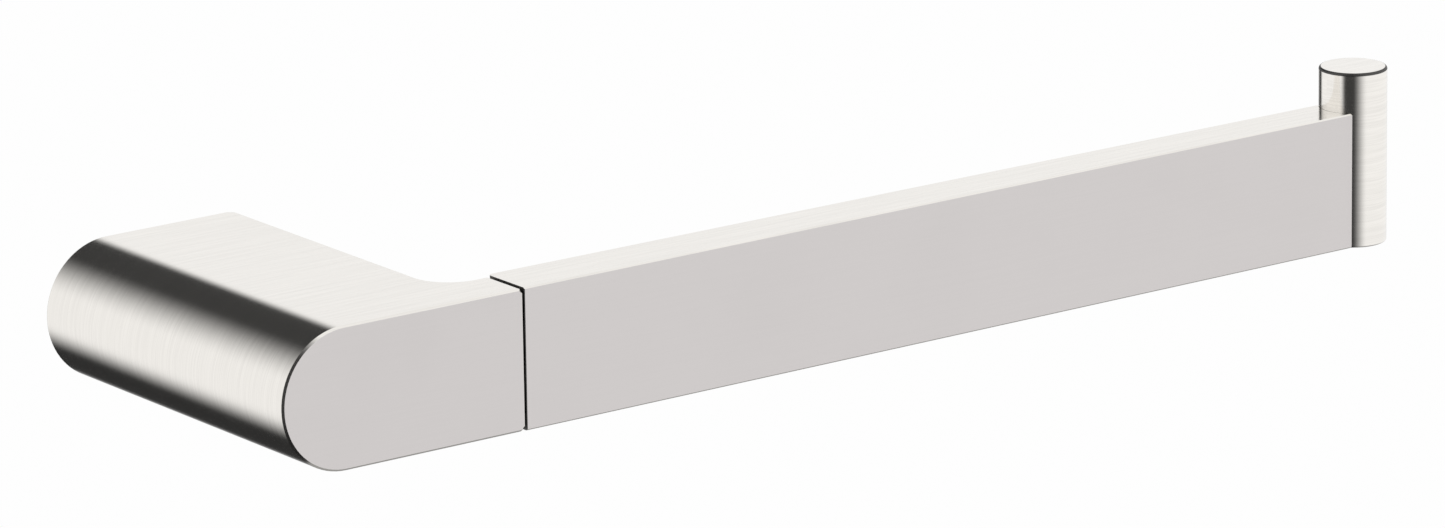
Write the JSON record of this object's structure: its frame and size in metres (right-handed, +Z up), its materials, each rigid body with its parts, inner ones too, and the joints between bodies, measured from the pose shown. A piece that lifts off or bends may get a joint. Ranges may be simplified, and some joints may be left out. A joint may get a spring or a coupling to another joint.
{
  "type": "toilet paper holder",
  "caption": "Wall-mounted toilet paper holder: a hollow D-section post carries a flat side arm with an upright round stop pin at its free end.",
  "frame": {"origin": "middle of the post's wall face, half way up the post, in the plane of the wall", "axes": "+X along the bar from the post towards the pin, +Y into the wall, +Z up"},
  "size_m": [0.1932, 0.0593, 0.0259],
  "materials": {
    "brushed_metal": "finely brushed satin metal, bright reflections",
    "bracket_metal": "plain die-cast metal, matt",
    "screw_steel": "plain stainless steel"
  },
  "bodies": {
    "root": {"post": "brushed_metal", "arm_bar": "brushed_metal", "end_pin": "brushed_metal", "wall_bracket": "bracket_metal", "bracket_lock_screw": "screw_steel", "left_arm_screw": "screw_steel", "right_arm_screw": "screw_steel", "pin_lock_screw": "screw_steel"}
  },
  "joints": []
}
